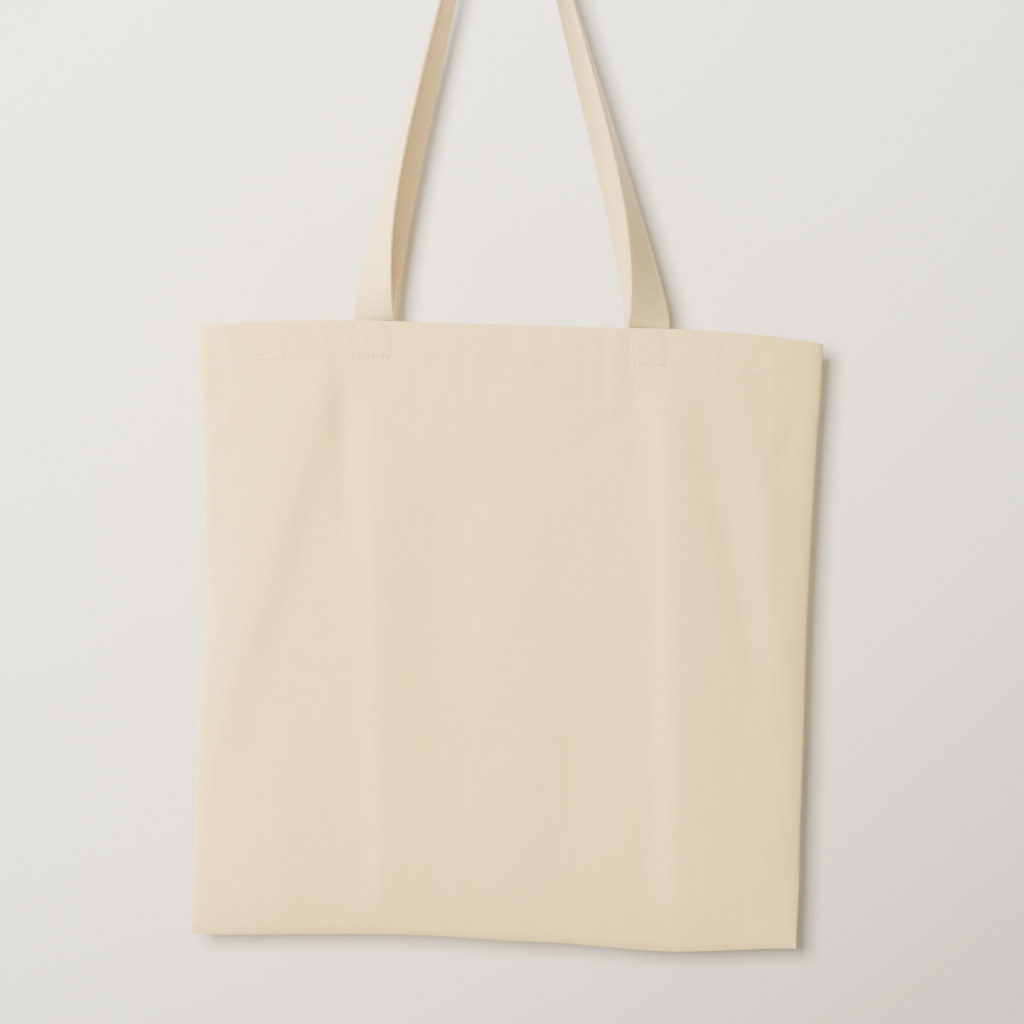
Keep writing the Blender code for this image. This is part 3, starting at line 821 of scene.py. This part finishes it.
def overlock_parts(point, first, last):
    """Overlock round a raw edge. point(place, inset, y) gives a point, inset from the bag's edge."""
    start = RAW_EDGE - OVERLOCK_DEPTH
    over = SEAM_Y + CLOTH / 2 + 0.00016
    places = np.arange(first, last, OVERLOCK_PITCH)
    half = OVERLOCK_PITCH / 2
    parts = []
    for y in (-over, over):
        out = point(places, 0.0, y) - point(places, 0.0, 0.0)
        out = out / np.linalg.norm(out, axis=-1, keepdims=True)
        here = point(places, start, y)
        for there in (point(places + half, RAW_EDGE, y), point(places + 2 * half, start, y)):
            parts.append(stitches(here, there, out, OVERLOCK_RADIUS))
    edge_out = point(places, RAW_EDGE + 0.001, 0.0) - point(places, RAW_EDGE, 0.0)
    parts.append(stitches(point(places + half, RAW_EDGE, -over),
                          point(places + half, RAW_EDGE, over), edge_out, OVERLOCK_RADIUS))
    return parts


def make_side_overlock(label, hand, material):
    def point(z, inset, y):
        x = CENTRE_X + hand * (half_width(z) - inset) + edge_shift(np.array(hand), z)
        return np.stack(np.broadcast_arrays(x, y, z), axis=-1)

    parts = overlock_parts(point, BOTTOM_Z + 0.012, ALLOWANCE_HIGH.z - 0.003)
    piece = make_thread(label + "_overlock_stitches", parts, material, label + "_seam_overlock")
    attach(piece, "back")
    return piece


def make_bottom_overlock(material):
    low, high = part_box("bottom_seam_overlock")

    def point(x, inset, y):
        z = BOTTOM_Z + inset + bottom_shift((x - CENTRE_X) / (BOTTOM_WIDTH / 2), BOTTOM_Z + inset)
        return np.stack(np.broadcast_arrays(x, y, z), axis=-1)

    parts = overlock_parts(point, low.x + 0.001, high.x - 0.004)
    piece = make_thread("bottom_overlock_stitches", parts, material, "bottom_seam_overlock")
    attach(piece, "back")
    return piece


# ---------------------------------------------------------------------------
# Materials
# ---------------------------------------------------------------------------

class Nodes:
    """Short ways to add nodes to one material."""

    def __init__(self, name):
        self.material = bpy.data.materials.new(name)
        self.material.use_nodes = True
        self.tree = self.material.node_tree
        self.shader = self.tree.nodes["Principled BSDF"]

    def add(self, kind, **settings):
        node = self.tree.nodes.new(kind)
        for key, value in settings.items():
            setattr(node, key, value)
        return node

    def put(self, socket, value):
        if isinstance(value, bpy.types.NodeSocket):
            self.tree.links.new(value, socket)
        else:
            socket.default_value = value

    def math(self, operation, first, second=0.0):
        node = self.add("ShaderNodeMath", operation=operation)
        self.put(node.inputs[0], first)
        self.put(node.inputs[1], second)
        return node.outputs[0]

    def combine(self, x, y, z=0.0):
        node = self.add("ShaderNodeCombineXYZ")
        for socket, value in zip(node.inputs, (x, y, z)):
            self.put(socket, value)
        return node.outputs[0]

    def scaled(self, u, v, times_u, times_v, seed=0.0):
        """A place on the cloth, scaled both ways; another seed gives another pattern there."""
        return self.combine(self.math("MULTIPLY", u, times_u), self.math("MULTIPLY", v, times_v), seed)

    def noise(self, vector, detail=2.0):
        node = self.add("ShaderNodeTexNoise")
        self.put(node.inputs["Vector"], vector)
        node.inputs["Scale"].default_value = 1.0
        node.inputs["Detail"].default_value = detail
        return node.outputs[0]

    def mix(self, share, first, second, blend="MIX"):
        node = self.add("ShaderNodeMix", data_type="RGBA", blend_type=blend)
        self.put(node.inputs[0], share)
        self.put(node.inputs[6], first)
        self.put(node.inputs[7], second)
        return node.outputs[2]


def cloth_material(name, colour, other, thread_pitch=0.00056, bump=0.5, roughness=0.93):
    """Plain woven cotton: yarns over and under each other, slubs, a slow drift of colour, and painted
    shade in the gaps between yarns.
    """
    n = Nodes(name)
    uv = n.add("ShaderNodeUVMap", uv_map="UVMap")
    split = n.add("ShaderNodeSeparateXYZ")
    n.tree.links.new(uv.outputs[0], split.inputs[0])
    u, v = split.outputs[0], split.outputs[1]

    # Yarns wander a little, so that the weave isn't a perfect grid.
    wander_u = n.math("SUBTRACT", n.noise(n.scaled(u, v, 260, 90)), 0.5)
    wander_v = n.math("SUBTRACT", n.noise(n.scaled(u, v, 90, 260, 4.0)), 0.5)
    warp = n.math("ADD", n.math("DIVIDE", u, thread_pitch), n.math("MULTIPLY", wander_u, 0.9))
    weft = n.math("ADD", n.math("DIVIDE", v, thread_pitch), n.math("MULTIPLY", wander_v, 0.9))
    across = n.math("SUBTRACT", n.math("FRACT", warp), 0.5)
    along = n.math("SUBTRACT", n.math("FRACT", weft), 0.5)
    cell = n.math("ADD", n.math("FLOOR", warp), n.math("FLOOR", weft))
    odd = n.math("GREATER_THAN", n.math("FRACT", n.math("MULTIPLY", cell, 0.5)), 0.25)

    def yarn(cross, length):
        round_part = n.math("SUBTRACT", 1.0, n.math("MULTIPLY", n.math("MULTIPLY", cross, cross), 3.6))
        arch = n.math("SUBTRACT", 1.0, n.math("MULTIPLY", n.math("MULTIPLY", length, length), 1.6))
        return n.math("MULTIPLY", round_part, arch)

    upright, level = yarn(across, along), yarn(along, across)
    even = n.math("SUBTRACT", 1.0, odd)
    height = n.math("ADD", n.math("MULTIPLY", upright, even), n.math("MULTIPLY", level, odd))

    # Slubs: yarns that run a little thicker and lighter for a centimetre or two.
    slub_up = n.noise(n.scaled(u, v, 1500, 45), 1.0)
    slub_level = n.noise(n.scaled(u, v, 45, 1500, 9.0), 1.0)
    slub = n.math("ADD", n.math("MULTIPLY", slub_up, 0.62), n.math("MULTIPLY", slub_level, 0.38))
    drift = n.noise(n.scaled(u, v, 11, 7, 2.0), 3.0)

    tone = n.mix(n.math("MULTIPLY", n.math("SUBTRACT", drift, 0.28), 2.1), (*colour, 1), (*other, 1))
    # Painted shade: the base colour is darker in the low gaps between yarns. The slubs add a random
    # lighter tone.
    shade = n.math("ADD", 0.925, n.math("MULTIPLY", height, 0.045))
    shade = n.math("ADD", shade, n.math("MULTIPLY", n.math("SUBTRACT", slub, 0.5), 0.16))
    grey = n.add("ShaderNodeCombineColor")
    for socket in grey.inputs[:3]:
        n.tree.links.new(shade, socket)
    n.tree.links.new(n.mix(1.0, tone, grey.outputs[0], "MULTIPLY"), n.shader.inputs["Base Color"])

    lift = n.math("ADD", height, n.math("MULTIPLY", slub, 1.6))
    bumps = n.add("ShaderNodeBump")
    bumps.inputs["Strength"].default_value = bump
    bumps.inputs["Distance"].default_value = 0.00012
    n.tree.links.new(lift, bumps.inputs["Height"])
    n.tree.links.new(bumps.outputs[0], n.shader.inputs["Normal"])
    n.shader.inputs["Roughness"].default_value = roughness
    n.shader.inputs["Specular IOR Level"].default_value = 0.18
    n.shader.inputs["Sheen Weight"].default_value = 0.12
    n.shader.inputs["Sheen Roughness"].default_value = 0.45
    return n.material


def thread_material(name, colour):
    """Two-ply cotton thread, with its twist as a bump and as painted shade in the grooves between its
    plies.
    """
    n = Nodes(name)
    uv = n.add("ShaderNodeUVMap", uv_map="UVMap")
    split = n.add("ShaderNodeSeparateXYZ")
    n.tree.links.new(uv.outputs[0], split.inputs[0])
    u, v = split.outputs[0], split.outputs[1]
    lay = n.math("ADD", n.math("MULTIPLY", u, 3900.0), n.math("MULTIPLY", v, 5200.0))
    ply = n.math("ABSOLUTE", n.math("SINE", lay))
    fuzz = n.noise(n.scaled(u, v, 3000, 900))
    # Painted shade: the colour is darker in the grooves between the plies. The fuzz adds a random tone.
    shade = n.math("ADD", 0.86, n.math("MULTIPLY", ply, 0.10))
    shade = n.math("ADD", shade, n.math("MULTIPLY", n.math("SUBTRACT", fuzz, 0.5), 0.10))
    grey = n.add("ShaderNodeCombineColor")
    for socket in grey.inputs[:3]:
        n.tree.links.new(shade, socket)
    n.tree.links.new(n.mix(1.0, (*colour, 1), grey.outputs[0], "MULTIPLY"), n.shader.inputs["Base Color"])
    bumps = n.add("ShaderNodeBump")
    bumps.inputs["Strength"].default_value = 0.6
    bumps.inputs["Distance"].default_value = 0.00008
    n.tree.links.new(ply, bumps.inputs["Height"])
    n.tree.links.new(bumps.outputs[0], n.shader.inputs["Normal"])
    n.shader.inputs["Roughness"].default_value = 0.75
    n.shader.inputs["Specular IOR Level"].default_value = 0.3
    n.shader.inputs["Sheen Weight"].default_value = 0.1
    return n.material


# ---------------------------------------------------------------------------
# Stage and light
# ---------------------------------------------------------------------------

WALL_Y = 0.175             # far enough back for the back handle to fall
FLOOR_Z = -0.95
WARM = (1.0, 0.945, 0.81)


def plain_material(name, colour):
    n = Nodes(name)
    n.shader.inputs["Base Color"].default_value = (*colour, 1)
    n.shader.inputs["Roughness"].default_value = 0.9
    n.shader.inputs["Specular IOR Level"].default_value = 0.1
    return n


def wall_material():
    """A backdrop whose colour darkens from upper left to lower right, as painted shade standing in for
    light that falls off across the wall, and is clear from behind.
    """
    n = plain_material("backdrop", (0.7, 0.7, 0.7))
    place = n.add("ShaderNodeTexCoord").outputs["Object"]
    split = n.add("ShaderNodeSeparateXYZ")
    n.tree.links.new(place, split.inputs[0])
    x, z = split.outputs[0], split.outputs[2]
    # Painted shade: the colour runs from pale at the upper left to dark at the lower right, in place of
    # light falling off across the wall.
    painted_falloff = n.math("SUBTRACT", n.math("MULTIPLY", x, 0.68), n.math("MULTIPLY", z, 0.86))
    share = n.math("MULTIPLY", n.math("SUBTRACT", painted_falloff, -0.10), 1.05)
    share = n.math("MINIMUM", n.math("MAXIMUM", share, 0.0), 1.0)
    tone = n.mix(share, (0.86, 0.855, 0.83, 1), (0.30, 0.296, 0.285, 1))
    n.tree.links.new(tone, n.shader.inputs["Base Color"])
    facing = n.add("ShaderNodeNewGeometry").outputs["Backfacing"]
    clear = n.add("ShaderNodeBsdfTransparent")
    blend = n.add("ShaderNodeMixShader")
    n.tree.links.new(facing, blend.inputs[0])
    n.tree.links.new(n.shader.outputs[0], blend.inputs[1])
    n.tree.links.new(clear.outputs[0], blend.inputs[2])
    n.tree.links.new(blend.outputs[0], n.tree.nodes["Material Output"].inputs[0])
    return n.material


def make_plane(name, corners, material):
    mesh = bpy.data.meshes.new(name)
    mesh.from_pydata(corners, [], [(0, 1, 2, 3)])
    mesh.materials.append(material)
    plane = bpy.data.objects.new(name, mesh)
    bpy.context.scene.collection.objects.link(plane)
    return plane


def area_light(name, place, aim, size, power, stage=(), only_stage=False):
    """A square light. It gives no light to the stage, or gives light to nothing else."""
    data = bpy.data.lights.new(name, "AREA")
    data.energy = power
    data.size = size
    data.color = WARM
    light = bpy.data.objects.new(name, data)
    light.location = place
    light.rotation_euler = (Vector(aim) - Vector(place)).to_track_quat("-Z", "Y").to_euler()
    bpy.context.scene.collection.objects.link(light)
    if stage:
        receivers = bpy.data.collections.new(name + "_receivers")
        for thing in stage:
            receivers.objects.link(thing)
        for entry in receivers.collection_objects:
            entry.light_linking.link_state = "INCLUDE" if only_stage else "EXCLUDE"
        light.light_linking.receiver_collection = receivers


def make_stage():
    reach = 6.0
    wall = make_plane("wall", [(-reach, WALL_Y, FLOOR_Z), (reach, WALL_Y, FLOOR_Z),
                               (reach, WALL_Y, 4.0), (-reach, WALL_Y, 4.0)], wall_material())
    wall.visible_shadow = False
    floor = make_plane("floor", [(-30, -30, FLOOR_Z), (30, -30, FLOOR_Z),
                                 (30, 30, FLOOR_Z), (-30, 30, FLOOR_Z)],
                       plain_material("floor_paint", (0.55, 0.54, 0.52)).material)
    world = bpy.data.worlds.new("world")
    world.use_nodes = True
    world.node_tree.nodes["Background"].inputs[0].default_value = (0.88, 0.89, 0.86, 1)
    world.node_tree.nodes["Background"].inputs[1].default_value = 0.32
    bpy.context.scene.world = world
    aim = (CENTRE_X, 0.0, -0.42)
    area_light("side_softbox", (-1.35, -0.58, 0.25), aim, 0.6, 112, (wall, floor))
    area_light("front_softbox", (-0.5, -2.4, 0.2), aim, 1.2, 98, (wall, floor))
    area_light("rear_fill", (1.2, 2.4, 0.4), aim, 1.4, 95, (wall, floor))
    area_light("wall_key", (-0.095, -2.0, -0.355), (0.0155, 0.0, -0.4185), 0.15, 186,
               (wall, floor), only_stage=True)


# ---------------------------------------------------------------------------
# The bag
# ---------------------------------------------------------------------------

def make_bag():
    canvas = cloth_material("natural_canvas", (0.805, 0.565, 0.255), (0.795, 0.57, 0.235))
    # The straps' canvas is a darker copy of the body's canvas; the darkening is painted shade that tones
    # down the light on the straps.
    shaded_strap_canvas = cloth_material("shaded_strap_canvas", (0.68, 0.505, 0.265), (0.67, 0.505, 0.25), bump=0.4)
    cotton = thread_material("cotton_thread", (0.86, 0.68, 0.42))
    allowances = [make_side_allowance(label, hand, canvas) for label, hand in HANDS]
    allowances.append(make_bottom_allowance(canvas))
    overlocks = [make_side_overlock(label, hand, cotton) for label, hand in HANDS]
    overlocks.append(make_bottom_overlock(cotton))
    edge_row = STRAP_WIDTH / 2 - EDGE_ROW_INSET
    for label, side in SIDES:
        cloth = make_cloth(label, side, canvas)
        ride_mouth(cloth, side)
        strap, length = make_strap(label, side, shaded_strap_canvas)
        rows = [make_strap_stitches(label, row, side, offset, cotton)
                for row, offset in (("inner", edge_row), ("outer", -edge_row))]
        sewn = [make_hem_stitches(label, side, cotton)]
        sewn += [make_box_stitches(label, hand_label, side, hand, cotton) for hand_label, hand in HANDS]


make_camera()
make_stage()
make_bag()
